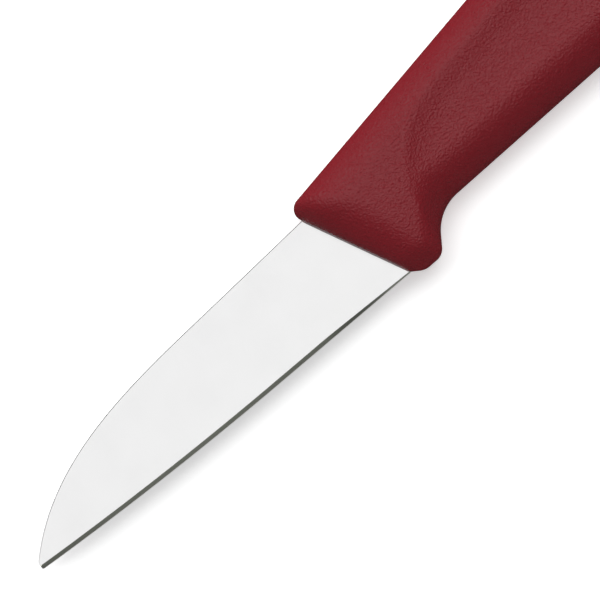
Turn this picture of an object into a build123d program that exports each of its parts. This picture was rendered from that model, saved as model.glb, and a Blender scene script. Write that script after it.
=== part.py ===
from build123d import *
import math
import os

# Paring knife lying on its side. Lengths are in millimetres, angles in degrees.
# While it is drawn, x runs from the tip along the cutting edge towards the butt, y runs from
# the edge towards the back of the blade, and z = 0 is the middle plane of blade and handle.

# Driving sizes of the blade
edge_length = 80.0            # tip to handle front, along the cutting edge
back_height_at_heel = 19.07   # back of the blade above the edge, measured at the heel
back_slope = 5.0              # the straight back falls this much towards the tip
back_curve_start = 50.0       # how far behind the tip the back starts to curve down
back_curve_pull = 18.0        # how long the curve follows the straight back
tip_curve_pull = 18.0         # how long the curve follows its direction at the tip
tip_angle = 46.0              # direction of the curve where it reaches the tip
nose_height = 1.25            # height of the small blunt nose at the tip
nose_round = 0.3
edge_line_slope = 1.55        # the rear part of the edge falls this much towards the tip
edge_line_length = 29.5       # length of that straight rear part
edge_belly_radius = 680.0     # the rest of the edge is one shallow arc
blade_thickness = 1.0         # at the back, and all over the tang
edge_thickness = 0.36         # behind the ground bevel
bevel_width = 0.75            # seen from the side

# Sizes of the tang inside the handle
heel_depth = 4.0              # how far the full blade height goes into the handle
tang_length = 62.0            # measured from the handle front
tang_width = 9.5
tang_drop = 2.6               # top of the tang below the line of the back
tang_end_round = 3.0
tang_hole_diameter = 4.5
tang_hole_pitch = 24.0
tang_hole_count = 2
tang_hole_margin = 11.0       # rear hole to the end of the tang

# Driving sizes of the handle
handle_thickness = 12.4
front_lean_angle = 26.3             # the handle front leans towards the tip at its upper end
top_above_back = 3.9          # top line above the line of the blade's back, at the heel
top_slope = 11.07
top_straight_length = 48.4
front_corner_round = 2.1
top_hump_radius = 85.0
top_hump_turn_angle = 27.0
top_dip_radius = 200.0
top_dip_turn_angle = 4.0
butt_top_radius = 11.0
butt_top_turn_angle = 75.0
guard_front_slope = 33.0
guard_front_length = 1.4
guard_front_radius = 3.0
guard_bottom_slope = 2.0
guard_bottom_length = 1.6
guard_rear_radius = 2.6
guard_rear_slope = 56.0
guard_rear_length = 2.2
notch_radius = 8.4
bottom_slope = 2.84
bottom_straight_length = 38.6
palm_radius = 110.0
palm_turn_angle = 14.0
beak_radius = 60.0
beak_turn_angle = 12.0
butt_bottom_radius = 9.5
butt_bottom_turn_angle = 82.0

# Height of the handle's top line above the edge, at the heel
top_height_at_heel = back_height_at_heel + top_above_back

# Roundings of the handle from the side faces to its outline
spine_round = 6.5             # reach of the rounding along the top
spine_fall = 2.6              # and how far it drops
front_round = 7.8             # longest reach of the rounding towards the front
front_round_low = 6.0         # its reach at the guard
front_round_top = 4.2         # and at the upper corner
front_fall = 4.6              # how far it drops
front_widest_share = 0.45     # how far up the front the reach is longest
front_narrow_share = 0.95     # and where it has shrunk again
guard_round = 5.0             # reach of the rounding towards the guard's outline
guard_fall = 3.0              # and how far it drops
crown_radius = 90.0           # bulge of the sides in front of the scoop
crown_below_top = 9.0         # highest line of that bulge
butt_round = 6.0              # reach of the rounding towards the butt
butt_fall = 4.5               # and how far it drops
belly_reach = 7.8             # how far the full rounding of the belly reaches up the side
belly_flat = 1.2              # width of the flat left along the belly
rim_share = 0.15              # share of the slanting roundings that their rounded rims take
flank_crown = 0.06            # the sides bulge this much before they are levelled

# Finger scoop on each side of the handle
scoop_depth = 0.65
scoop_hollow = 0.15
cove_reach = 4.6
crease_foot = 6.8             # crease behind the heel, at the height of the edge
crease_lean_angle = 5.5
crease_drop = 4.35            # crease below the top line
crease_radius = 20.0
crease_softness = 0.3
scoop_fade_start_share = 0.42
scoop_fade_end_share = 0.74

# Clearance of the moulded handle round the steel, and one overrun for all cuts
mould_gap = 0.02
overrun = 2.0

# Numbers of sections that the handle is drawn through, in each of its zones
front_section_count = 9
guard_section_count = 16
grip_section_count = 14
butt_section_count = 12
rib_point_count = 29


def heading(angle):
    return Vector(math.cos(math.radians(angle)), math.sin(math.radians(angle)))


def walk(start, angle, steps):
    """Edges of a path of straight lines (length, 0) and tangent arcs (radius, turn)."""
    edges = []
    for size, turn in steps:
        if turn == 0:
            edges.append(Edge.make_line(start, start + heading(angle) * size))
        else:
            side = 1 if turn > 0 else -1
            centre = start + heading(angle + side * 90) * size
            middle = centre + heading(angle - side * 90 + turn / 2) * size
            end = centre + heading(angle - side * 90 + turn) * size
            edges.append(Edge.make_three_point_arc(start, middle, end))
            angle = angle + turn
        start = edges[-1] @ 1
    return edges


def back_line(x):
    """Height of the straight back of the blade, or of its line inside the handle."""
    return back_height_at_heel + (x - edge_length) * math.tan(math.radians(back_slope))


def front_line(y):
    """Place of the handle front at a height above the edge."""
    return edge_length - y * math.tan(math.radians(front_lean_angle))


def top_line(x):
    """Height of the straight top line of the handle."""
    return top_height_at_heel + (x - edge_length) * math.tan(math.radians(top_slope))


def edge_path():
    """Cutting edge from inside the handle to the tip."""
    rear = Vector(edge_length + heel_depth, 0)
    rear = rear + Vector(0, heel_depth * math.tan(math.radians(edge_line_slope)))
    straight = (edge_line_length + heel_depth) / math.cos(math.radians(edge_line_slope))
    belly_share = (edge_length - edge_line_length) / edge_belly_radius
    belly_turn = math.asin(belly_share - math.sin(math.radians(edge_line_slope)))
    turn = math.degrees(belly_turn) + edge_line_slope
    return walk(rear, 180 + edge_line_slope, [(straight, 0), (edge_belly_radius, -turn)])


def blade_outline():
    """Side view of the blade, from the tip to the end of the heel inside the handle."""
    edge = edge_path()
    nose = edge[-1] @ 1
    curve_end = Vector(nose.X, nose.Y + nose_height)
    curve_start = Vector(back_curve_start, back_line(back_curve_start))
    rear_top = Vector(edge_length + heel_depth, back_line(edge_length + heel_depth))
    pull_back = curve_start - heading(back_slope) * back_curve_pull
    pull_tip = curve_end + heading(tip_angle) * tip_curve_pull
    curve = Edge.make_bezier(curve_start, pull_back, pull_tip, curve_end)
    loop = edge + [
        Edge.make_line(nose, curve_end),
        curve,
        Edge.make_line(curve_start, rear_top),
        Edge.make_line(rear_top, edge[0] @ 0),
    ]
    face = Face(Wire(loop))
    nose_corners = face.vertices().sort_by(Axis.X)[:2]
    return fillet(nose_corners, nose_round)


def tang_outline(grow):
    """Side view of the tang, grown by a clearance."""
    length = tang_length + grow
    centre = Vector(edge_length, back_line(edge_length) - tang_drop - tang_width / 2)
    bar = Rectangle(length, tang_width + 2 * grow, align=(Align.MIN, Align.CENTER))
    ends = bar.vertices().sort_by(Axis.X)[-2:]
    bar = fillet(ends, tang_end_round)
    return Location((centre.X, centre.Y, 0), (0, 0, back_slope)) * bar


def tang_holes(grow):
    """Round holes that the handle plastic fills, so that it can't slide off."""
    centre = Vector(edge_length, back_line(edge_length) - tang_drop - tang_width / 2)
    radius = tang_hole_diameter / 2 - grow
    holes = []
    for number in range(tang_hole_count):
        reach = tang_length - tang_hole_margin - number * tang_hole_pitch
        place = centre + heading(back_slope) * reach
        holes.append(Location((place.X, place.Y, 0)) * Cylinder(radius, blade_thickness + overrun))
    return holes


def blank(outline, grow):
    """Flat steel sheet of an outline, middle plane at z = 0."""
    return extrude(outline, blade_thickness / 2 + grow, both=True)


def grinding_cuts(grow):
    """Wedges that thin the blade from its full thickness at the back to the edge."""
    back = back_line(edge_length)
    low = -overrun - blade_thickness
    full = blade_thickness / 2 + grow
    thin = edge_thickness / 2 + grow
    slope = (full - thin) / back
    thin_low = thin + slope * low
    deep = full + overrun
    wedge = Polygon((back, full), (back, deep), (low, deep), (low, thin_low), align=None)
    length = edge_length + heel_depth + 2 * overrun
    start = Plane(origin=(-overrun, 0, 0), x_dir=(0, 1, 0), z_dir=(1, 0, 0))
    upper = extrude(start * wedge, length)
    return [upper, mirror(upper, about=Plane.XY)]


def bevel_cuts(grow):
    """Slim wedges along the cutting edge, one on each side, meeting at the edge itself."""
    path = Wire(edge_path())
    thin = edge_thickness / 2 + grow
    rise = thin / bevel_width
    deep = overrun
    section = Polygon((-deep, grow - rise * deep), (-deep, deep), (deep, deep),
                      (deep, grow + rise * deep), align=None)
    start = path @ 0
    inward = Vector((path % 0).Y, -(path % 0).X, 0)
    upper = sweep(Plane(origin=start, x_dir=inward, z_dir=path % 0) * section, path=path)
    return [upper, mirror(upper, about=Plane.XY)]


def steel(grow):
    """Blade and tang in one sheet; grown by a clearance it is the room for them."""
    outline = blade_outline()
    if grow:
        outline = offset(outline, grow, kind=Kind.INTERSECTION)
    sheet = blank(outline, grow)
    for cut in grinding_cuts(grow) + bevel_cuts(grow):
        sheet = sheet - cut
    tang = blank(tang_outline(grow), grow)
    for hole in tang_holes(grow):
        tang = tang - hole
    return sheet + tang


def top_path():
    """Top of the handle, from the front corner over the hump to the butt."""
    lean = math.tan(math.radians(front_lean_angle))
    rise = math.tan(math.radians(top_slope))
    corner_height = top_height_at_heel / (1 + lean * rise)
    corner = Vector(front_line(corner_height), corner_height)
    turn = 90 + front_lean_angle - top_slope
    reach = front_corner_round * math.tan(math.radians(turn / 2))
    start = corner - heading(90 + front_lean_angle) * reach
    steps = [(front_corner_round, -turn), (top_straight_length, 0),
             (top_hump_radius, -top_hump_turn_angle), (top_dip_radius, top_dip_turn_angle),
             (butt_top_radius, -butt_top_turn_angle)]
    return Wire(walk(start, 90 + front_lean_angle, steps))


def bottom_path():
    """Underside of the handle: guard, finger notch, belly and beak, up to the butt."""
    steps = [(guard_front_length, 0),
             (guard_front_radius, guard_front_slope + guard_bottom_slope),
             (guard_bottom_length, 0),
             (guard_rear_radius, guard_rear_slope - guard_bottom_slope),
             (guard_rear_length, 0),
             (notch_radius, bottom_slope - guard_rear_slope),
             (bottom_straight_length, 0),
             (palm_radius, -palm_turn_angle), (beak_radius, beak_turn_angle),
             (butt_bottom_radius, butt_bottom_turn_angle)]
    return Wire(walk(Vector(edge_length, 0), -guard_front_slope, steps))


def fall(distance, reach, depth):
    """How far a rounding lies below the side face, at a distance from its outline."""
    share = min(1, max(0, 1 - distance / reach))
    return depth * (1 - math.sqrt(1 - share ** 2))


def flare(distance, reach, depth):
    """The same for a slanting rounding: a parabola, with a small rounded rim."""
    share = min(1, max(0, 1 - distance / reach))
    rim = fall(distance, reach * rim_share, depth * rim_share)
    return depth * (1 - rim_share) * share ** 2 + rim


def crease_distance(point):
    """Distance behind the crease of the finger scoop, negative in front of it.

    The crease climbs from the guard, turns in an arc and follows the top line."""
    climb = 90 - crease_lean_angle
    foot = Vector(edge_length + crease_foot, 0)
    drop = crease_drop / math.cos(math.radians(top_slope))
    line_start = Vector(edge_length, top_height_at_heel - drop)
    gap = line_start - foot
    across = math.sin(math.radians(top_slope - climb))
    reach = (gap.X * heading(top_slope).Y - gap.Y * heading(top_slope).X) / across
    meeting = foot + heading(climb) * reach
    half_turn = math.radians((climb - top_slope) / 2)
    inward = heading((climb + top_slope) / 2 - 90)
    centre = meeting + inward * (crease_radius / math.cos(half_turn))
    offset_from_centre = point - centre
    along_climb = offset_from_centre.dot(heading(climb))
    along_top = offset_from_centre.dot(heading(top_slope))
    if along_climb < 0:
        return (point - foot).dot(heading(climb - 90))
    if along_top > 0:
        return (point - line_start).dot(heading(top_slope - 90))
    return crease_radius - offset_from_centre.length


def smooth_step(value, start, end):
    """Rises evenly and softly from 0 at start to 1 at end."""
    share = min(1, max(0, (value - start) / (end - start)))
    return share * share * (3 - 2 * share)


def half_thickness(point, from_bottom, from_top, from_butt, along_share):
    """Distance of the handle's side face from the middle plane, at a point of the side view."""
    side = handle_thickness / 2 + flank_crown
    from_heel = point - Vector(edge_length, 0)
    from_front = from_heel.dot(heading(front_lean_angle))
    front_length = top_height_at_heel / math.cos(math.radians(front_lean_angle))
    up_front_share = from_heel.dot(heading(front_lean_angle + 90)) / front_length
    low_part = 1 - smooth_step(up_front_share, 0, front_widest_share)
    top_part = smooth_step(up_front_share, front_widest_share, front_narrow_share)
    front_reach = front_round + (front_round_low - front_round) * low_part
    front_reach = front_reach + (front_round_top - front_round) * top_part
    shared = 1 - fall(from_top, spine_round, spine_fall) / side
    shared = shared * (1 - flare(from_front, front_reach, front_fall) / side)
    shared = shared * (1 - fall(from_butt, butt_round, butt_fall) / side)
    crown = (from_top - crown_below_top) ** 2 / (2 * crown_radius)
    guard = 1 - flare(from_bottom, guard_round, guard_fall) / side
    bolster = (side - crown) * shared * guard

    fade = 1 - smooth_step(along_share, scoop_fade_start_share, scoop_fade_end_share)
    behind = crease_distance(point)
    hollow = math.sin(math.pi * min(1, max(0, behind / (2 * belly_reach)))) ** 2
    floor = side - (scoop_depth + scoop_hollow * hollow) * fade
    belly_fall = floor - belly_flat / 2
    grip = floor * shared * (1 - flare(from_bottom, belly_reach, belly_fall) / floor)

    soft = (behind + math.hypot(behind, crease_softness)) / 2
    cove = max(0, 1 - soft / cove_reach) ** 2
    return grip + (bolster - grip) * cove


def section_places():
    """Shares of the two outlines where the sections lie, closer together at both ends."""
    total = top_path().length
    front = front_round
    guard = notch_radius + guard_front_length + guard_rear_length + guard_bottom_length
    butt = butt_top_radius + butt_bottom_radius
    zones = [(front, front_section_count), (guard, guard_section_count),
             (total - front - guard - butt, grip_section_count), (butt, butt_section_count)]
    places = [0]
    for length, count in zones:
        start = places[-1]
        for number in range(count):
            places.append(start + length * (number + 1) / count / total)
    return places


def handle_section(low, high, share, butt_centre, butt_heading):
    """Closed outline of one cross-section, on the rib from its low to its high point."""
    rib = high - low
    points = []
    for number in range(rib_point_count):
        height_share = (1 - math.cos(math.pi * number / (rib_point_count - 1))) / 2
        point = low + rib * height_share
        from_bottom = rib.length * height_share
        from_top = rib.length - from_bottom
        from_butt = (butt_centre - point).dot(butt_heading)
        half = half_thickness(point, from_bottom, from_top, from_butt, share)
        points.append(Vector(point.X, point.Y, half))
    mirrored = [Vector(point.X, point.Y, -point.Z) for point in reversed(points)]
    even = [number / (rib_point_count - 1) for number in range(rib_point_count)]
    edges = [
        Edge.make_spline(points, parameters=even),
        Edge.make_line(points[-1], mirrored[0]),
        Edge.make_spline(mirrored, parameters=even),
        Edge.make_line(mirrored[-1], points[0]),
    ]
    return Wire(edges)


def handle_blank():
    """Handle without the room for the steel, drawn through sections fanned along it."""
    top = top_path()
    bottom = bottom_path()
    butt_low = bottom @ 1
    butt_high = top @ 1
    butt_line = (butt_high - butt_low).normalized()
    butt_heading = Vector(butt_line.Y, -butt_line.X)
    sections = []
    for share in section_places():
        low = bottom @ share
        high = top @ share
        sections.append(handle_section(low, high, share, butt_low, butt_heading))
    return Part() + Solid.make_loft(sections, ruled=True)


def handle_body():
    """Moulded handle with level side faces and the room for blade root and tang."""
    body = handle_blank()
    size = 2 * (edge_length + top_path().length)
    level = handle_thickness / 2
    for side in (1, -1):
        above = Location((0, 0, side * (level + handle_thickness / 2)))
        body = body - above * Box(size, size, handle_thickness)
    return body - steel(mould_gap)


def named(shape, name):
    """One solid with the name of its piece."""
    solid = shape.solids()[0] if len(shape.solids()) == 1 else Compound(shape.solids())
    solid.label = name
    return solid


def main():
    pieces = {"blade": steel(0), "handle": handle_body()}
    box = Compound([piece for piece in pieces.values()]).bounding_box()
    middle = box.center()
    place = Location((-middle.X, -middle.Y, -box.min.Z))
    os.makedirs("parts", exist_ok=True)
    for name, piece in pieces.items():
        export_step(named(place * piece, name), f"parts/{name}.step")
    print(f"overall {box.size.X:.1f} x {box.size.Y:.1f} x {box.size.Z:.1f} mm")
    print(f"tip at {-middle.X:.3f}, {-middle.Y:.3f}")


main()
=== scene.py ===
import math

import bmesh
import bpy
import numpy as np
from bpy.props import FloatProperty, FloatVectorProperty, PointerProperty
from mathutils import Matrix, Vector


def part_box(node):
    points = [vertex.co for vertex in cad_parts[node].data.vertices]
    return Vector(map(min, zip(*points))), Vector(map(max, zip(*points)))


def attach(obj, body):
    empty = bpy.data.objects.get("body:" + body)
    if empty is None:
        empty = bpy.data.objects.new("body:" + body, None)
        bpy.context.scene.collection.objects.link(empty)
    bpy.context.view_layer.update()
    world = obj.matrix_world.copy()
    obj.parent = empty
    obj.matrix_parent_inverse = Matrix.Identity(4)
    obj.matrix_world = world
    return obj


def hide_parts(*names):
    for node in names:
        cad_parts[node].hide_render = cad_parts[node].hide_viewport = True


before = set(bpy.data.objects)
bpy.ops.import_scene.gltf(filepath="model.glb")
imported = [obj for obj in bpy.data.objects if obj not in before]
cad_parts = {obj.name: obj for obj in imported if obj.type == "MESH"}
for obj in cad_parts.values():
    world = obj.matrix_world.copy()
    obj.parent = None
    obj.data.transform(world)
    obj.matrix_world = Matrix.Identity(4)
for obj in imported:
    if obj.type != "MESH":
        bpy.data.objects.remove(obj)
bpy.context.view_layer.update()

bl_info = {
    "name": "Paring Knife",
    "version": (1, 0, 0),
    "blender": (4, 5, 0),
    "location": "View3D > Sidebar > Paring Knife",
    "description": "Builds a paring knife with a ground steel blade and a moulded plastic handle",
    "category": "Add Mesh",
}

MM = 0.001
BLADE_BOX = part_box("blade")
HANDLE_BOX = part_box("handle")

# Shares of other sizes
RIM_SHARE = 0.15                # rim of a slanting rounding, of its reach and of its depth
FOOT_SHARE = 0.3                # steel's face on the handle's front wall, of the rim's height
BEVEL_LIMIT_SHARE = 0.45        # widest bevel, of the blade's height there
BACK_LIMIT_SHARE = 0.6          # largest rounding of the back, of half the steel there
FLANK_START_SHARE = 1.02        # start of the flat ground side, of the bevel's width
BEVEL_SHARES = (0, 0.25, 0.5, 0.75, 0.96)

# How finely the surfaces are laid out
TIP_LENGTH = 6 * MM
TIP_ROWS = 26
BLADE_ROWS = 180
FLANK_POINTS = 25
BACK_POINTS = 6
CURVE_POINTS = 2001
OUTLINE_POINTS = 4001
FRONT_RIBS = 34
GUARD_RIBS = 70
GRIP_RIBS = 130
BUTT_RIBS = 60
RIB_POINTS = 111
WALL_POINTS = 9
MERGE_DISTANCE = 0.0005 * MM

# Surface detail that stays the same in every size
SHADE_SPREAD = 0.06             # of the plastic's colour, lighter and darker
GLOSS_SPREAD = 0.03             # of the steel's gloss, up and down
PLASTIC_IOR = 1.49
GRAIN_SOFTNESS = 0.9
GRAIN_DETAIL = 3
GRAIN_CRISPNESS = 0.6
LINE_DETAIL = 4
FLOOR_SHADE = 0.995
FLOOR_CLOUDS = 12
FLOOR_ROUGHNESS = 0.9
FLOOR_SHEEN = 0.2
WALL_SHADE = 0.9
WALL_CLOUDS = 2

# Stage
FLOOR_REACH = 1600 * MM
FLOOR_SQUARES = 8
WALL_SIDES = 96
FILM_WIDTH = 36
NEAREST = 10 * MM
FARTHEST = 10000 * MM


def length(name, description, default):
    """A size in metres, given in millimetres."""
    return FloatProperty(name=name, description=description, default=default * MM,
                         unit="LENGTH", precision=5)


def angle(name, description, default):
    """An angle, given in degrees."""
    return FloatProperty(name=name, description=description, default=math.radians(default),
                         subtype="ANGLE")


def number(name, description, default, low=0.0, high=100.0):
    """A plain number such as a share or a strength."""
    return FloatProperty(name=name, description=description, default=default,
                         min=low, max=high)


def colour(name, description, default):
    """A colour in linear values."""
    return FloatVectorProperty(name=name, description=description, default=default,
                               subtype="COLOR", size=3, min=0.0, max=1.0)


class BladeSizes(bpy.types.PropertyGroup):
    """Sizes of the ground blade"""
    edge_length: length("Edge length", "Tip to handle along the cutting edge", 80.0)
    back_height: length("Back height", "Back above the edge, at the heel", 19.07)
    back_slope: angle("Back slope", "Fall of the straight back towards the tip", 5.0)
    curve_start: length("Curve start", "Distance from the tip where the back curves", 50.0)
    back_pull: length("Back pull", "How long the curve follows the straight back", 18.0)
    tip_pull: length("Tip pull", "How long the curve follows its direction at the tip", 18.0)
    tip_angle: angle("Tip angle", "Direction of the back where it reaches the tip", 46.0)
    nose_height: length("Nose height", "Height of the small blunt nose", 1.25)
    nose_round: length("Nose round", "Rounding of the nose's two corners", 0.3)
    edge_slope: angle("Edge slope", "Fall of the rear part of the edge", 1.55)
    edge_straight: length("Edge straight", "Length of the straight rear part", 29.5)
    edge_radius: length("Edge radius", "Radius of the rest of the edge", 680.0)
    thickness: length("Thickness", "Steel at the back", 1.0)
    edge_thickness: length("Edge thickness", "Steel behind the bevel", 0.36)
    bevel_width: length("Bevel width", "Ground bevel seen from the side", 0.75)
    bevel_taper: length("Bevel taper", "Length over which the bevel narrows at the handle", 18.0)
    bevel_end: length("Bevel end", "Bevel where it meets the handle", 0.25)
    heel_depth: length("Heel depth", "Blade that goes into the handle", 4.0)
    back_round: length("Back round", "Rounding of the two edges of the back", 0.16)


class HandleSizes(bpy.types.PropertyGroup):
    """Sizes of the moulded handle"""
    front_lean: angle("Front lean", "Lean of the handle front towards the tip", 26.3)
    top_above_back: length("Top above back", "Handle top above the blade's back", 3.9)
    top_slope: angle("Top slope", "Rise of the top towards the butt", 11.07)
    top_straight: length("Top straight", "Length of the straight top", 48.4)
    corner_round: length("Corner round", "Upper front corner", 2.1)
    hump_radius: length("Hump radius", "Hump of the top", 85.0)
    hump_turn: angle("Hump turn", "Turn of the hump", 27.0)
    dip_radius: length("Dip radius", "Hollow behind the hump", 200.0)
    dip_turn: angle("Dip turn", "Turn of that hollow", 4.0)
    butt_top_radius: length("Butt top radius", "Upper corner of the butt", 11.0)
    butt_top_turn: angle("Butt top turn", "Turn of that corner", 75.0)
    guard_front_slope: angle("Guard front slope", "Slope below the heel", 33.0)
    guard_front_length: length("Guard front length", "Length of that slope", 1.4)
    guard_front_radius: length("Guard front radius", "Front of the guard", 3.0)
    guard_bottom_slope: angle("Guard bottom slope", "Rise of the guard's underside", 2.0)
    guard_bottom_length: length("Guard bottom length", "Length of that underside", 1.6)
    guard_rear_radius: length("Guard rear radius", "Rear of the guard", 2.6)
    guard_rear_slope: angle("Guard rear slope", "Slope behind the guard", 56.0)
    guard_rear_length: length("Guard rear length", "Length of that slope", 2.2)
    notch_radius: length("Notch radius", "Finger notch", 8.4)
    bottom_slope: angle("Bottom slope", "Rise of the straight underside", 2.84)
    bottom_straight: length("Bottom straight", "Length of the straight underside", 38.6)
    palm_radius: length("Palm radius", "Swell of the underside", 110.0)
    palm_turn: angle("Palm turn", "Turn of that swell", 14.0)
    beak_radius: length("Beak radius", "Hollow before the butt", 60.0)
    beak_turn: angle("Beak turn", "Turn of that hollow", 12.0)
    butt_bottom_radius: length("Butt bottom radius", "Lower corner of the butt", 9.5)
    butt_bottom_turn: angle("Butt bottom turn", "Turn of that corner", 82.0)
    spine_round: length("Spine round", "Reach of the rounding along the top", 6.5)
    spine_fall: length("Spine fall", "Drop of the rounding at the top", 2.6)
    front_round: length("Front round", "Reach of the rounding along the front", 7.8)
    front_round_low: length("Front round, low", "The same close to the guard", 6.0)
    front_round_top: length("Front round, top", "The same at the upper corner", 4.2)
    front_widest: number("Front widest", "Share of the front where that reach is longest", 0.45)
    front_narrow: number("Front narrow", "Share where it has narrowed again", 0.95)
    front_foot: length("Front foot", "How far the front slants out to the steel", 0.22)
    foot_fade: length("Foot fade", "Length over which that slant fades at both ends", 0.6)
    front_fall: length("Front fall", "Drop of the rounding at the front", 4.6)
    guard_round: length("Guard round", "Reach of the rounding along the guard", 5.0)
    guard_fall: length("Guard fall", "Drop of the rounding at the guard", 3.0)
    crown_radius: length("Crown radius", "Bulge of the side faces in front of the scoop", 90.0)
    crown_below_top: length("Crown below top", "Highest line of that bulge", 9.0)
    butt_round: length("Butt round", "Reach of the rounding at the butt", 6.0)
    butt_fall: length("Butt fall", "Drop of the rounding at the butt", 4.5)
    belly_reach: length("Belly reach", "How far the round belly reaches up", 7.8)
    belly_flat: length("Belly flat", "Flat left along the belly", 1.2)


class ScoopSizes(bpy.types.PropertyGroup):
    """Sizes of the finger scoop on each side of the handle"""
    depth: length("Depth", "Depth of the scoop", 0.65)
    hollow: length("Hollow", "Extra depth in the middle of its floor", 0.15)
    cove_reach: length("Cove reach", "Width of the fall behind the crease", 4.6)
    foot: length("Foot", "Crease behind the heel, at the height of the edge", 6.8)
    lean: angle("Lean", "Lean of the rising crease", 5.5)
    drop: length("Drop", "Crease below the top line", 4.35)
    radius: length("Radius", "Turn of the crease", 20.0)
    softness: length("Softness", "Rounding of the crease", 0.3)
    fade_start: number("Fade start", "Share of the handle where the scoop starts to fade", 0.42)
    fade_end: number("Fade end", "Share of the handle where it has faded", 0.74)


class Finishes(bpy.types.PropertyGroup):
    """Colours and surface detail"""
    plastic: colour("Plastic", "Colour of the handle", (0.188, 0.0085, 0.0145))
    plastic_sheen: number("Plastic sheen", "Strength of the handle's sheen", 0.4, high=1.0)
    plastic_roughness: number("Plastic roughness", "Gloss of the handle", 0.26, high=1.0)
    grain_size: length("Grain size", "Size of the moulded grain", 0.36)
    grain_height: length("Grain height", "Height of the moulded grain", 0.24)
    steel: colour("Steel", "Colour of the blade", (0.865, 0.865, 0.865))
    # Painted reflection: the bevel's darker, greenish colour stands in for the dim surroundings
    # mirrored in its steel.
    bevel_steel_painted_reflection: colour("Bevel steel", "Colour of the ground bevel", (0.8, 0.83, 0.72))
    steel_roughness: number("Steel roughness", "Gloss of the ground sides", 0.3, high=1.0)
    bevel_roughness: number("Bevel roughness", "Gloss of the ground bevel", 0.33, high=1.0)
    steel_spread: number("Steel spread", "Spread of the light along the blade", 0.85, high=1.0)
    line_width: length("Line width", "Width of the grinding lines", 0.11)
    line_length: length("Line length", "Length of the grinding lines", 6.0)
    line_height: length("Line height", "Height of the grinding lines", 0.002)
    floor: colour("Floor", "Colour of the floor", (0.93, 0.93, 0.93))


class StageSizes(bpy.types.PropertyGroup):
    """Camera and light"""
    turn: angle("Turn", "Direction of the edge above the picture's horizontal", 38.735)
    view_width: length("View width", "Width of the picture at the blade", 101.35)
    view_centre_x: length("View centre X", "Picture's centre behind the tip", 62.32)
    view_centre_y: length("View centre Y", "Picture's centre above the edge", 8.05)
    camera_height: length("Camera height", "Camera above the blade", 1400.0)
    key_turn: angle("Key turn", "Side that the key light comes from, seen in the picture", 120.0)
    key_tilt: angle("Key tilt", "Key light away from straight above", 43.0)
    key_distance: length("Key distance", "Key light from the middle of the picture", 1200.0)
    key_width: length("Key width", "Width of the key light", 2200.0)
    key_height: length("Key height", "Height of the key light", 1700.0)
    key_strength: number("Key strength", "Radiance of the key light", 2.1)
    fill_turn: angle("Fill turn", "Side that the second light comes from", 120.0)
    fill_tilt: angle("Fill tilt", "Second light away from straight above", 6.0)
    fill_distance: length("Fill distance", "Second light from the middle of it", 1700.0)
    fill_width: length("Fill width", "Width of the second light", 1700.0)
    fill_height: length("Fill height", "Height of the second light", 1700.0)
    fill_strength: number("Fill strength", "Radiance of the second light", 1.2)
    floor_glow: number("Floor glow", "Light that comes through the floor", 0.45)
    world_strength: number("World strength", "Brightness of the room", 0.05)
    wall_distance: length("Wall distance", "Pale wall round the stage", 1500.0)
    wall_height: length("Wall height", "Height of that wall", 1300.0)
    wall_glow: number("Wall glow", "Brightness of the wall in reflections", 0.2)


def heading(direction):
    """Unit vector of a direction in the side view."""
    return np.array([math.cos(direction), math.sin(direction)])


def walk(start, direction, steps, places):
    """Points of a path at some distances from its start.

    The path is a run of straight lines (length, 0) and tangent arcs (radius, turn). On a line a
    point is the start plus distance times direction; on an arc it is the centre plus the radius
    turned by distance over radius."""
    places = np.asarray(places, float)
    points = np.zeros((len(places), 2))
    start = np.array(start, float)
    done = 0.0
    for size, turn in steps:
        if turn == 0:
            run = size
            along = np.clip(places - done, 0, run)
            run_points = start + along[:, None] * heading(direction)
            end = start + run * heading(direction)
        else:
            run = size * abs(turn)
            side = math.copysign(1, turn)
            centre = start + heading(direction + side * math.pi / 2) * size
            spun = direction - side * math.pi / 2 + side * np.clip(places - done, 0, run) / size
            run_points = centre + size * np.stack([np.cos(spun), np.sin(spun)], axis=1)
            direction = direction + turn
            end = centre + size * heading(direction - side * math.pi / 2)
        here = places >= done
        points[here] = run_points[here]
        done = done + run
        start = end
    return points


def path_length(steps):
    """Length of a path: the sum of its lines and of radius times turn of its arcs."""
    return sum(size if turn == 0 else size * abs(turn) for size, turn in steps)


def fall(distance, reach, depth):
    """Drop of a rounding: a quarter ellipse of that reach and depth, zero beyond its reach."""
    share = np.clip(1 - distance / reach, 0, 1)
    return depth * (1 - np.sqrt(1 - share ** 2))


def flare(distance, reach, depth):
    """Drop of a slanting rounding, zero beyond its reach: a parabola, and a small quarter
    ellipse at the rim that takes the rim's share of the reach and of the depth."""
    share = np.clip(1 - distance / reach, 0, 1)
    rim = fall(distance, reach * RIM_SHARE, depth * RIM_SHARE)
    return depth * (1 - RIM_SHARE) * share ** 2 + rim


def smooth_step(value, start, end):
    """Soft rise from 0 at start to 1 at end: 3 s squared minus 2 s cubed."""
    share = np.clip((value - start) / (end - start), 0, 1)
    return share * share * (3 - 2 * share)


def top_steps(blade, handle):
    """Start, direction and steps of the handle's top, from the front corner to the butt."""
    height = blade.back_height + handle.top_above_back
    lean = math.tan(handle.front_lean)
    corner_y = height / (1 + lean * math.tan(handle.top_slope))
    corner = np.array([blade.edge_length - corner_y * lean, corner_y])
    direction = math.pi / 2 + handle.front_lean
    turn = direction - handle.top_slope
    start = corner - heading(direction) * handle.corner_round * math.tan(turn / 2)
    steps = [(handle.corner_round, -turn), (handle.top_straight, 0),
             (handle.hump_radius, -handle.hump_turn), (handle.dip_radius, handle.dip_turn),
             (handle.butt_top_radius, -handle.butt_top_turn)]
    return start, direction, steps


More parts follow.
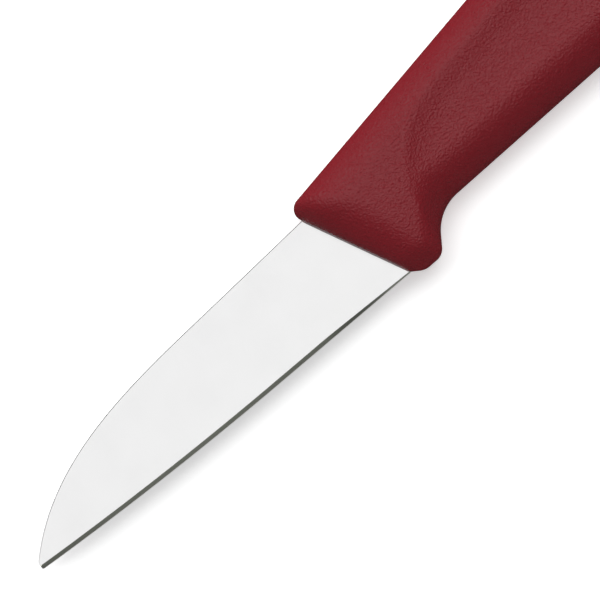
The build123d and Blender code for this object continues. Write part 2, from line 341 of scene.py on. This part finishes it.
def bottom_steps(blade, handle):
    """Start, direction and steps of the underside: guard, notch, belly, beak and butt."""
    start = np.array([blade.edge_length, 0.0])
    steps = [(handle.guard_front_length, 0),
             (handle.guard_front_radius, handle.guard_front_slope + handle.guard_bottom_slope),
             (handle.guard_bottom_length, 0),
             (handle.guard_rear_radius, handle.guard_rear_slope - handle.guard_bottom_slope),
             (handle.guard_rear_length, 0),
             (handle.notch_radius, handle.bottom_slope - handle.guard_rear_slope),
             (handle.bottom_straight, 0),
             (handle.palm_radius, -handle.palm_turn), (handle.beak_radius, handle.beak_turn),
             (handle.butt_bottom_radius, handle.butt_bottom_turn)]
    return start, -handle.guard_front_slope, steps


def crease_distance(points, blade, handle, scoop):
    """Distance behind the crease, negative in front of it.

    The crease is a rising line and a line below the top, joined by an arc: beside each line the
    distance is measured square to it, and beside the arc it is radius minus distance to centre."""
    climb = math.pi / 2 - scoop.lean
    slope = handle.top_slope
    foot = np.array([blade.edge_length + scoop.foot, 0.0])
    height = blade.back_height + handle.top_above_back
    line_start = np.array([blade.edge_length, height - scoop.drop / math.cos(slope)])
    gap = line_start - foot
    reach = (gap[0] * math.sin(slope) - gap[1] * math.cos(slope)) / math.sin(slope - climb)
    meeting = foot + heading(climb) * reach
    inward = heading((climb + slope) / 2 - math.pi / 2)
    centre = meeting + inward * (scoop.radius / math.cos((climb - slope) / 2))
    offset = points - centre
    beside_climb = (points - foot) @ heading(climb - math.pi / 2)
    beside_top = (points - line_start) @ heading(slope - math.pi / 2)
    beside_arc = scoop.radius - np.linalg.norm(offset, axis=-1)
    distance = np.where(offset @ heading(slope) > 0, beside_top, beside_arc)
    return np.where(offset @ heading(climb) < 0, beside_climb, distance)


def half_thickness(points, from_bottom, from_top, from_butt, along, sizes):
    """Distance of the side face from the middle plane.

    Two shapes are mixed: the full bolster, and the thinner grip with its round belly. Each is
    the half thickness times one factor for each rounding near it. Behind the crease the bolster
    gives way to the grip with the square of what is left of the cove."""
    blade, handle, scoop, side = sizes
    from_heel = points - np.array([blade.edge_length, 0.0])
    from_front = from_heel @ heading(handle.front_lean)
    front_length = (blade.back_height + handle.top_above_back) / math.cos(handle.front_lean)
    up_front = from_heel @ heading(handle.front_lean + math.pi / 2) / front_length
    low_share = 1 - smooth_step(up_front, 0, handle.front_widest)
    top_share = smooth_step(up_front, handle.front_widest, handle.front_narrow)
    front_reach = (handle.front_round + (handle.front_round_low - handle.front_round) * low_share
                   + (handle.front_round_top - handle.front_round) * top_share)
    shared = 1 - fall(from_top, handle.spine_round, handle.spine_fall) / side
    shared = shared * (1 - flare(from_front, front_reach, handle.front_fall) / side)
    shared = shared * (1 - fall(from_butt, handle.butt_round, handle.butt_fall) / side)
    guard = flare(from_bottom, handle.guard_round, handle.guard_fall)
    crown = (from_top - handle.crown_below_top) ** 2 / (2 * handle.crown_radius)
    bolster = (side - crown) * shared * (1 - guard / side)
    fade = 1 - smooth_step(along, scoop.fade_start, scoop.fade_end)
    behind = crease_distance(points, blade, handle, scoop)
    hollow = np.sin(np.pi * np.clip(behind / (2 * handle.belly_reach), 0, 1)) ** 2
    floor = side - (scoop.depth + scoop.hollow * hollow) * fade
    belly = flare(from_bottom, handle.belly_reach, floor - handle.belly_flat / 2)
    grip = floor * shared * (1 - belly / floor)
    soft = (behind + np.hypot(behind, scoop.softness)) / 2
    cove = np.clip(1 - soft / scoop.cove_reach, 0, 1) ** 2
    return grip + (bolster - grip) * cove


def grid_faces(rows, columns, first=0):
    """Four-sided faces of a grid of points, as an array of corner numbers."""
    row, column = np.meshgrid(np.arange(rows - 1), np.arange(columns - 1), indexing="ij")
    corner = (first + row * columns + column).ravel()
    return np.stack([corner, corner + 1, corner + columns + 1, corner + columns], axis=1)


def mesh_from_grids(name, grids):
    """One closed mesh from grids of points that share their borders."""
    points = []
    faces = []
    first = 0
    for grid in grids:
        rows, columns = grid.shape[:2]
        points.append(grid.reshape(-1, 3))
        faces.append(grid_faces(rows, columns, first))
        first = first + rows * columns
    mesh = bpy.data.meshes.new(name)
    mesh.from_pydata(np.concatenate(points).tolist(), [], np.concatenate(faces).tolist())
    shell = bmesh.new()
    shell.from_mesh(mesh)
    bmesh.ops.remove_doubles(shell, verts=shell.verts, dist=MERGE_DISTANCE)
    bmesh.ops.recalc_face_normals(shell, faces=shell.faces)
    shell.to_mesh(mesh)
    shell.free()
    map_side_view(mesh)
    return mesh


def map_side_view(mesh):
    """Gives a mesh a map of its side view, in metres, so that grain can run along the piece."""
    places = np.zeros(len(mesh.vertices) * 3)
    mesh.vertices.foreach_get("co", places)
    corners = np.zeros(len(mesh.loops), dtype=int)
    mesh.loops.foreach_get("vertex_index", corners)
    side_view = places.reshape(-1, 3)[corners, :2]
    mesh.uv_layers.new(name="side_view").uv.foreach_set("vector", side_view.ravel())


def add_piece(name, mesh, material, node):
    """Puts a finished mesh in the scene in place of a CAD node."""
    mesh.materials.clear()
    mesh.materials.append(material)
    piece = bpy.data.objects.new(name, mesh)
    bpy.context.scene.collection.objects.link(piece)
    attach(piece, "root")
    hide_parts(node)
    return piece


def eased(count, start, end):
    """Places from start to end that lie close together at the start."""
    share = 1 - np.cos(np.pi / 2 * np.arange(count) / count)
    return start + (end - start) * share


def even(count, start, end):
    """Evenly spaced places from start up to, but without, the end."""
    return start + (end - start) * np.arange(count) / count


def handle_grids(sizes):
    """Surface of the handle as grids of points in the knife's own side view.

    Ribs join the underside to the top at equal shares of their lengths. Along each rib the
    points lie closer together at both ends, and the side faces stand off the middle plane by
    the half thickness there. Narrow strips join the two sides round the outline."""
    blade, handle, scoop, side = sizes
    top_start, top_direction, top = top_steps(blade, handle)
    low_start, low_direction, bottom = bottom_steps(blade, handle)
    total = path_length(top)
    front = handle.front_round
    guard = front + handle.notch_radius * 2
    butt = total - handle.butt_top_radius - handle.butt_bottom_radius
    places = np.concatenate([eased(FRONT_RIBS, 0, front), even(GUARD_RIBS, front, guard),
                             even(GRIP_RIBS, guard, butt),
                             total - eased(BUTT_RIBS, 0, total - butt)[::-1]])
    along = places / total
    high = walk(top_start, top_direction, top, places)
    low = walk(low_start, low_direction, bottom, along * path_length(bottom))
    rib_share = (1 - np.cos(np.pi * np.arange(RIB_POINTS) / (RIB_POINTS - 1))) / 2
    rib = high - low
    points = low[:, None] + rib[:, None] * rib_share[None, :, None]
    rib_length = np.linalg.norm(rib, axis=1)[:, None]
    butt_line = rib[-1] / rib_length[-1]
    butt_heading = np.array([butt_line[1], -butt_line[0]])
    from_butt = (low[-1] - points) @ butt_heading
    half = half_thickness(points, rib_length * rib_share, rib_length * (1 - rib_share),
                          from_butt, along[:, None], sizes)
    upper = np.concatenate([points, half[..., None]], axis=2)
    lower = upper * np.array([1, 1, -1])
    underside, top, front_wall, butt_wall = edge_strips(upper)
    slant_front(front_wall, handle)
    return [upper, lower, underside, top, front_wall, butt_wall]


def edge_strips(upper):
    """Strips between a side face and its mirror image: underside, top, front and butt."""
    level = np.linspace(1, -1, WALL_POINTS)
    strips = []
    for border in (upper[:, 0], upper[:, -1], upper[0], upper[-1]):
        strip = np.repeat(border[:, None], len(level), axis=1)
        strip[..., 2] = border[:, 2][:, None] * level
        strips.append(strip)
    return strips


def slant_front(strip, handle):
    """Lets the narrow front wall slant out towards the steel.

    The outward step grows evenly from the rim to the steel, and fades evenly towards both
    ends of the front."""
    rim = strip[:, :1, 2]
    level = np.abs(strip[..., 2]) / rim
    along = np.linalg.norm(strip[:, :1, :2] - strip[0, 0, :2], axis=2)
    ends = np.clip(np.minimum(along, along.max() - along) / handle.foot_fade, 0, 1)
    step = handle.front_foot * np.clip((1 - level) / (1 - FOOT_SHARE), 0, 1) * ends
    strip[..., :2] -= step[..., None] * heading(handle.front_lean)


def edge_height(x, blade):
    """Height of the cutting edge: a straight rear part, then one shallow arc to the tip."""
    slope = math.tan(blade.edge_slope)
    joint = blade.edge_length - blade.edge_straight
    centre_x = joint - blade.edge_radius * math.sin(blade.edge_slope)
    drop = blade.edge_straight * slope
    centre_y = blade.edge_radius * math.cos(blade.edge_slope) - drop
    arc = centre_y - np.sqrt(blade.edge_radius ** 2 - (x - centre_x) ** 2)
    return np.where(x > joint, (x - blade.edge_length) * slope, arc)


def back_height(x, blade):
    """Height of the back: straight, then a cubic curve with two pulls that ends at the nose."""
    slope = math.tan(blade.back_slope)
    straight = blade.back_height + (x - blade.edge_length) * slope
    start = np.array([blade.curve_start,
                      blade.back_height + (blade.curve_start - blade.edge_length) * slope])
    nose = np.array([0.0, float(edge_height(np.array(0.0), blade)) + blade.nose_height])
    second = start - heading(blade.back_slope) * blade.back_pull
    third = nose + heading(blade.tip_angle) * blade.tip_pull
    share = np.linspace(0, 1, CURVE_POINTS)[:, None]
    curve = ((1 - share) ** 3 * start + 3 * (1 - share) ** 2 * share * second
             + 3 * (1 - share) * share ** 2 * third + share ** 3 * nose)
    curved = np.interp(x, curve[::-1, 0], curve[::-1, 1])
    return np.where(x > blade.curve_start, straight, curved)


def corner_cut(x, radius):
    """How much a rounded corner of that radius takes off, at a distance from the nose."""
    share = np.clip(1 - x / radius, 0, 1)
    return radius * (1 - np.sqrt(1 - share ** 2))


def bevel_at(x, blade):
    """Width of the bevel: even along the edge, and narrowing evenly close to the handle."""
    start = blade.edge_length - blade.bevel_taper
    share = np.clip((x - start) / blade.bevel_taper, 0, 1)
    return blade.bevel_width + (blade.bevel_end - blade.bevel_width) * share


def mark_bevel(mesh, shift, blade):
    """Marks the bevel with 1 and the rest of the blade with 0, for its gloss and its painted
    reflection.
    """
    places = np.zeros(len(mesh.vertices) * 3)
    mesh.vertices.foreach_get("co", places)
    x, y, _ = (places.reshape(-1, 3) - np.array(shift)).T
    above = y - edge_height(x, blade) - corner_cut(x, blade.nose_round)
    mark = (above < bevel_at(x, blade)).astype(float)
    mesh.attributes.new("bevel", "FLOAT", "POINT").data.foreach_set("value", mark)


def blade_grids(blade):
    """Surface of the blade as grids of points in the knife's own side view.

    At each place behind the tip a half section runs from the edge up the bevel, up the flat
    ground side, whose distance from the middle plane grows evenly with height, and round the
    edge of the back to the middle plane."""
    end = blade.edge_length + blade.heel_depth
    x = np.concatenate([eased(TIP_ROWS, 0, TIP_LENGTH), even(BLADE_ROWS, TIP_LENGTH, end),
                        [end]])
    low = edge_height(x, blade) + corner_cut(x, blade.nose_round)
    high = back_height(x, blade) - corner_cut(x, blade.nose_round)
    thin = blade.edge_thickness / 2
    grow = (blade.thickness / 2 - thin) / blade.back_height
    tall = high - low
    bevel = np.minimum(bevel_at(x, blade), tall * BEVEL_LIMIT_SHARE)
    back_half = thin + grow * high
    rounding = np.minimum(blade.back_round, back_half * BACK_LIMIT_SHARE)
    shares = np.linspace(0, 1, FLANK_POINTS)
    bevel_share = np.array(BEVEL_SHARES)
    heights = [low[:, None] + bevel[:, None] * bevel_share]
    depths = [bevel_depth(bevel_share, bevel, low, thin, grow)]
    flank_low = low + bevel * FLANK_START_SHARE
    flank_high = high - rounding
    flank = flank_low[:, None] + (flank_high - flank_low)[:, None] * shares
    heights.append(flank)
    depths.append(thin + grow * flank)
    turn = np.linspace(0, np.pi / 2, BACK_POINTS)[1:]
    heights.append(flank_high[:, None] + rounding[:, None] * np.sin(turn))
    depths.append((back_half - rounding)[:, None] + rounding[:, None] * np.cos(turn))
    heights.append(high[:, None])
    depths.append(np.zeros((len(x), 1)))
    height = np.concatenate(heights, axis=1)
    depth = np.concatenate(depths, axis=1)
    side = np.stack([np.repeat(x[:, None], height.shape[1], axis=1), height, depth], axis=2)
    other = side * np.array([1, 1, -1])
    caps = [np.stack([side[row], other[row]], axis=1) for row in (0, -1)]
    return [side, other] + caps


def bevel_depth(share, bevel, low, thin, grow):
    """Distance of the bevel from the middle plane: it grows evenly from nothing at the edge."""
    top = thin + grow * (low + bevel)
    return top[:, None] * share


def to_frame(grids, shift):
    """Moves grids from the knife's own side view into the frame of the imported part."""
    return [grid + np.array(shift) for grid in grids]


def node_setup(name):
    """A new material, its nodes, its links and its shader."""
    material = bpy.data.materials.new(name)
    material.use_nodes = True
    nodes = material.node_tree.nodes
    return material, nodes, material.node_tree.links, nodes["Principled BSDF"]


def set_inputs(node, values):
    """Sets the constant values of a node's inputs, given by name or number."""
    for key, value in values.items():
        node.inputs[key].default_value = value


def add_node(nodes, kind, place, inputs=None, **properties):
    """Adds a node with its properties and the constant values of its inputs."""
    node = nodes.new(kind)
    node.location = place
    for key, value in properties.items():
        setattr(node, key, value)
    set_inputs(node, inputs or {})
    return node


def tinted(value, share):
    """A colour times a share, with its alpha."""
    return (*[min(1, part * share) for part in value], 1)


def clouded_shade(nodes, links, scale, dark, light):
    """A colour that drifts between two shades with soft noise of that scale."""
    where = add_node(nodes, "ShaderNodeTexCoord", (-900, 0))
    cloud = add_node(nodes, "ShaderNodeTexNoise", (-700, 0), {"Scale": scale})
    links.new(where.outputs["Object"], cloud.inputs["Vector"])
    shade = add_node(nodes, "ShaderNodeMix", (-300, 0), data_type="RGBA")
    shade.inputs[6].default_value = dark
    shade.inputs[7].default_value = light
    links.new(cloud.outputs["Fac"], shade.inputs["Factor"])
    return shade.outputs[2]


def plastic_material(finish):
    """Moulded plastic: an even dark red with a fine leather-like grain and a soft sheen.

    The grain is the mean of rounded cells and soft noise, both of the grain's size."""
    material, nodes, links, shader = node_setup("moulded_plastic")
    where = add_node(nodes, "ShaderNodeTexCoord", (-1400, 0))
    cells = add_node(nodes, "ShaderNodeTexVoronoi", (-1000, 200), feature="SMOOTH_F1")
    set_inputs(cells, {"Scale": 1 / finish.grain_size, "Smoothness": GRAIN_SOFTNESS})
    fine = add_node(nodes, "ShaderNodeTexNoise", (-1000, -100),
                    {"Scale": 1 / finish.grain_size, "Detail": GRAIN_DETAIL,
                     "Roughness": GRAIN_CRISPNESS})
    links.new(where.outputs["Object"], cells.inputs["Vector"])
    links.new(where.outputs["Object"], fine.inputs["Vector"])
    grain = add_node(nodes, "ShaderNodeMix", (-760, 100), {"Factor": 0.5}, data_type="FLOAT")
    links.new(cells.outputs["Distance"], grain.inputs[2])
    links.new(fine.outputs["Fac"], grain.inputs[3])
    bump = add_node(nodes, "ShaderNodeBump", (-300, -200),
                    {"Strength": 1.0, "Distance": finish.grain_height})
    links.new(grain.outputs[0], bump.inputs["Height"])
    links.new(bump.outputs["Normal"], shader.inputs["Normal"])
    shade = add_node(nodes, "ShaderNodeMix", (-300, 200), data_type="RGBA")
    shade.inputs[6].default_value = tinted(finish.plastic, 1 - SHADE_SPREAD)
    shade.inputs[7].default_value = tinted(finish.plastic, 1 + SHADE_SPREAD)
    links.new(fine.outputs["Fac"], shade.inputs["Factor"])
    links.new(shade.outputs[2], shader.inputs["Base Color"])
    set_inputs(shader, {"Roughness": finish.plastic_roughness, "IOR": PLASTIC_IOR,
                        "Specular IOR Level": finish.plastic_sheen})
    return material


def steel_material(finish):
    """Ground steel: fine grinding lines from edge to back, which spread the light along the
    blade, and a slow change of gloss. The lines are noise that is squeezed along the blade.
    The bevel has a gloss of its own and a painted reflection: a darker, greenish colour."""
    material, nodes, links, shader = node_setup("ground_steel")
    where = add_node(nodes, "ShaderNodeTexCoord", (-1400, 0))
    squeeze = add_node(nodes, "ShaderNodeMapping", (-1200, 0),
                       {"Scale": (1 / finish.line_width, 1 / finish.line_length,
                                  1 / finish.line_length)})
    lines = add_node(nodes, "ShaderNodeTexNoise", (-980, 0),
                     {"Scale": 1.0, "Detail": LINE_DETAIL})
    links.new(where.outputs["Object"], squeeze.inputs["Vector"])
    links.new(squeeze.outputs["Vector"], lines.inputs["Vector"])
    bump = add_node(nodes, "ShaderNodeBump", (-300, -200),
                    {"Strength": 1.0, "Distance": finish.line_height})
    links.new(lines.outputs["Fac"], bump.inputs["Height"])
    links.new(bump.outputs["Normal"], shader.inputs["Normal"])
    cloud = add_node(nodes, "ShaderNodeTexNoise", (-980, 260),
                     {"Scale": 1 / finish.line_length})
    links.new(where.outputs["Object"], cloud.inputs["Vector"])
    mix = add_node(nodes, "ShaderNodeMix", (-740, 160), {"Factor": 0.5}, data_type="FLOAT")
    links.new(lines.outputs["Fac"], mix.inputs[2])
    links.new(cloud.outputs["Fac"], mix.inputs[3])
    bevel = add_node(nodes, "ShaderNodeAttribute", (-740, 400), attribute_name="bevel")
    gloss = add_node(nodes, "ShaderNodeMapRange", (-500, 100),
                     {"To Min": finish.steel_roughness - GLOSS_SPREAD,
                      "To Max": finish.steel_roughness + GLOSS_SPREAD})
    links.new(mix.outputs[0], gloss.inputs["Value"])
    polish = add_node(nodes, "ShaderNodeMix", (-260, 160), data_type="FLOAT")
    polish.inputs[3].default_value = finish.bevel_roughness
    links.new(bevel.outputs["Fac"], polish.inputs["Factor"])
    links.new(gloss.outputs["Result"], polish.inputs[2])
    links.new(polish.outputs[0], shader.inputs["Roughness"])
    along = add_node(nodes, "ShaderNodeTangent", (-300, -400), direction_type="UV_MAP")
    along.uv_map = "side_view"
    links.new(along.outputs["Tangent"], shader.inputs["Tangent"])
    # Painted reflection: the bevel's darker, greenish colour stands in for the surroundings
    # mirrored in it.
    painted_bevel_reflection = add_node(nodes, "ShaderNodeMix", (-260, 500), data_type="RGBA")
    painted_bevel_reflection.inputs[6].default_value = tinted(finish.steel, 1)
    painted_bevel_reflection.inputs[7].default_value = tinted(finish.bevel_steel_painted_reflection, 1)
    links.new(bevel.outputs["Fac"], painted_bevel_reflection.inputs["Factor"])
    links.new(painted_bevel_reflection.outputs[2], shader.inputs["Base Color"])
    set_inputs(shader, {"Metallic": 1.0, "Anisotropic": finish.steel_spread})
    return material


def wall_material(glow):
    """Evenly lit pale wall, a little cloudy."""
    material, nodes, links, shader = node_setup("pale_wall")
    white = (1, 1, 1)
    shade = clouded_shade(nodes, links, WALL_CLOUDS, tinted(white, WALL_SHADE), (*white, 1))
    links.new(shade, shader.inputs["Emission Color"])
    set_inputs(shader, {"Base Color": (0, 0, 0, 1), "Emission Strength": glow})
    return material


def floor_material(finish, glow):
    """Plain pale surface with a trace of unevenness, lit a little from below."""
    material, nodes, links, shader = node_setup("pale_floor")
    shade = clouded_shade(nodes, links, FLOOR_CLOUDS, tinted(finish.floor, FLOOR_SHADE),
                          tinted(finish.floor, 1))
    links.new(shade, shader.inputs["Base Color"])
    set_inputs(shader, {"Roughness": FLOOR_ROUGHNESS, "Specular IOR Level": FLOOR_SHEEN,
                        "Emission Color": (1, 1, 1, 1), "Emission Strength": glow})
    return material


def link_stage_mesh(name, shell, material):
    """Makes a stage object of a shell of faces."""
    mesh = bpy.data.meshes.new(name)
    shell.to_mesh(mesh)
    shell.free()
    mesh.materials.append(material)
    item = bpy.data.objects.new(name, mesh)
    bpy.context.scene.collection.objects.link(item)
    return item


def add_floor(finish, stage):
    """The pale floor. Reflections leave it out, which keeps the bevel dark."""
    ground = bmesh.new()
    bmesh.ops.create_grid(ground, x_segments=FLOOR_SQUARES, y_segments=FLOOR_SQUARES,
                          size=FLOOR_REACH)
    floor = link_stage_mesh("floor", ground, floor_material(finish, stage.floor_glow))
    floor.visible_glossy = False


def add_wall(stage):
    """A round pale wall that shows in reflections alone, so that steel isn't black when it is
    seen from low down."""
    ring = bmesh.new()
    bmesh.ops.create_cone(ring, cap_ends=False, segments=WALL_SIDES,
                          radius1=stage.wall_distance, radius2=stage.wall_distance,
                          depth=stage.wall_height)
    bmesh.ops.translate(ring, verts=ring.verts, vec=(0, 0, stage.wall_height / 2))
    bmesh.ops.reverse_faces(ring, faces=ring.faces)
    wall = link_stage_mesh("wall", ring, wall_material(stage.wall_glow))
    wall.visible_camera = False
    wall.visible_diffuse = False
    wall.visible_shadow = False


def knife_shift(scene):
    """Where the tip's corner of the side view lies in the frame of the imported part."""
    blade, handle = scene.knife_blade, scene.knife_handle
    start, direction, steps = bottom_steps(blade, handle)
    outline = walk(start, direction, steps, np.linspace(0, path_length(steps), OUTLINE_POINTS))
    middle = (HANDLE_BOX[0].z + HANDLE_BOX[1].z) / 2
    return (BLADE_BOX[0].x, HANDLE_BOX[0].y - float(outline[:, 1].min()), middle)


class BuildBlade(bpy.types.Operator):
    """Makes the ground blade"""
    bl_idname = "paring_knife.blade"
    bl_label = "Build Blade"

    def execute(self, context):
        scene = context.scene
        grids = to_frame(blade_grids(scene.knife_blade), knife_shift(scene))
        mesh = mesh_from_grids("blade_steel", grids)
        mark_bevel(mesh, knife_shift(scene), scene.knife_blade)
        add_piece("blade_steel", mesh, steel_material(scene.knife_finish), "blade")
        return {"FINISHED"}


class BuildHandle(bpy.types.Operator):
    """Makes the moulded handle"""
    bl_idname = "paring_knife.handle"
    bl_label = "Build Handle"

    def execute(self, context):
        scene = context.scene
        side = (HANDLE_BOX[1].z - HANDLE_BOX[0].z) / 2
        sizes = (scene.knife_blade, scene.knife_handle, scene.knife_scoop, side)
        grids = to_frame(handle_grids(sizes), knife_shift(scene))
        mesh = mesh_from_grids("handle_moulding", grids)
        mesh.shade_smooth()
        add_piece("handle_moulding", mesh, plastic_material(scene.knife_finish), "handle")
        return {"FINISHED"}


def aim(item, place, target, up=(0, 0, 1)):
    """Puts a camera or a light at a place and turns it to a target, keeping a side up."""
    place, target, up = Vector(place), Vector(target), Vector(up)
    back = (place - target).normalized()
    right = up.cross(back).normalized()
    turned = Matrix((right, back.cross(right), back)).transposed()
    item.matrix_world = Matrix.Translation(place) @ turned.to_4x4()


def add_light(name, place, target, width, height, strength):
    """A rectangular light whose strength is its radiance, whatever its size."""
    light = bpy.data.lights.new(name, "AREA")
    light.shape = "RECTANGLE"
    light.size = width
    light.size_y = height
    light.energy = strength * math.pi * width * height
    item = bpy.data.objects.new(name, light)
    bpy.context.scene.collection.objects.link(item)
    aim(item, place, target)
    return item


def add_camera(stage, centre, up):
    """The camera, straight above the middle of the picture."""
    camera = bpy.data.cameras.new("camera")
    camera.sensor_width = FILM_WIDTH
    camera.lens = camera.sensor_width * stage.camera_height / stage.view_width
    camera.clip_start = NEAREST
    camera.clip_end = FARTHEST
    item = bpy.data.objects.new("camera", camera)
    bpy.context.scene.collection.objects.link(item)
    aim(item, centre + Vector((0, 0, stage.camera_height)), centre, up)
    bpy.context.scene.camera = item


def add_lights(stage, centre, right, up):
    """The key and the overhead light. Reflections show the overhead light alone."""
    for name in ("key", "fill"):
        turn, tilt = getattr(stage, name + "_turn"), getattr(stage, name + "_tilt")
        level = right * math.cos(turn) + up * math.sin(turn)
        way = level * math.sin(tilt) + Vector((0, 0, math.cos(tilt)))
        distance = getattr(stage, name + "_distance")
        light = add_light(name + "_light", centre + way * distance, centre,
                          getattr(stage, name + "_width"), getattr(stage, name + "_height"),
                          getattr(stage, name + "_strength"))
        light.visible_glossy = name == "fill"


def light_room(scene, strength):
    """An evenly white room of that brightness."""
    world = scene.world or bpy.data.worlds.new("room")
    scene.world = world
    world.use_nodes = True
    set_inputs(world.node_tree.nodes["Background"],
               {"Color": (1, 1, 1, 1), "Strength": strength})


class BuildStage(bpy.types.Operator):
    """Makes the floor, the wall, the lights and the camera"""
    bl_idname = "paring_knife.stage"
    bl_label = "Build Stage"

    def execute(self, context):
        scene = context.scene
        stage = scene.knife_stage
        add_floor(scene.knife_finish, stage)
        add_wall(stage)
        centre = Vector(knife_shift(scene))
        centre = centre + Vector((stage.view_centre_x, stage.view_centre_y, 0))
        up = Vector((math.sin(stage.turn), math.cos(stage.turn), 0))
        right = Vector((math.cos(stage.turn), -math.sin(stage.turn), 0))
        add_camera(stage, centre, up)
        add_lights(stage, centre, right, up)
        light_room(scene, stage.world_strength)
        scene.view_settings.view_transform = "Standard"
        return {"FINISHED"}


class KnifePanel(bpy.types.Panel):
    """Sizes and colours of the knife"""
    bl_idname = "VIEW3D_PT_paring_knife"
    bl_label = "Paring Knife"
    bl_space_type = "VIEW_3D"
    bl_region_type = "UI"
    bl_category = "Paring Knife"

    def draw(self, context):
        scene = context.scene
        for label, group, operator in PANEL_PARTS:
            box = self.layout.box()
            box.label(text=label)
            settings = getattr(scene, group)
            for name in settings.__annotations__:
                box.prop(settings, name)
            if operator:
                box.operator(operator)


PANEL_PARTS = [
    ("Blade", "knife_blade", "paring_knife.blade"),
    ("Handle", "knife_handle", "paring_knife.handle"),
    ("Finger scoop", "knife_scoop", None),
    ("Finish", "knife_finish", None),
    ("Stage", "knife_stage", "paring_knife.stage"),
]
GROUPS = {
    "knife_blade": BladeSizes,
    "knife_handle": HandleSizes,
    "knife_scoop": ScoopSizes,
    "knife_finish": Finishes,
    "knife_stage": StageSizes,
}
CLASSES = [*GROUPS.values(), BuildBlade, BuildHandle, BuildStage, KnifePanel]


def register():
    for part in CLASSES:
        bpy.utils.register_class(part)
    for name, group in GROUPS.items():
        setattr(bpy.types.Scene, name, PointerProperty(type=group))


def unregister():
    for name in GROUPS:
        delattr(bpy.types.Scene, name)
    for part in reversed(CLASSES):
        bpy.utils.unregister_class(part)


def main():
    register()
    bpy.ops.paring_knife.blade()
    bpy.ops.paring_knife.handle()
    bpy.ops.paring_knife.stage()


if __name__ == "__main__":
    main()
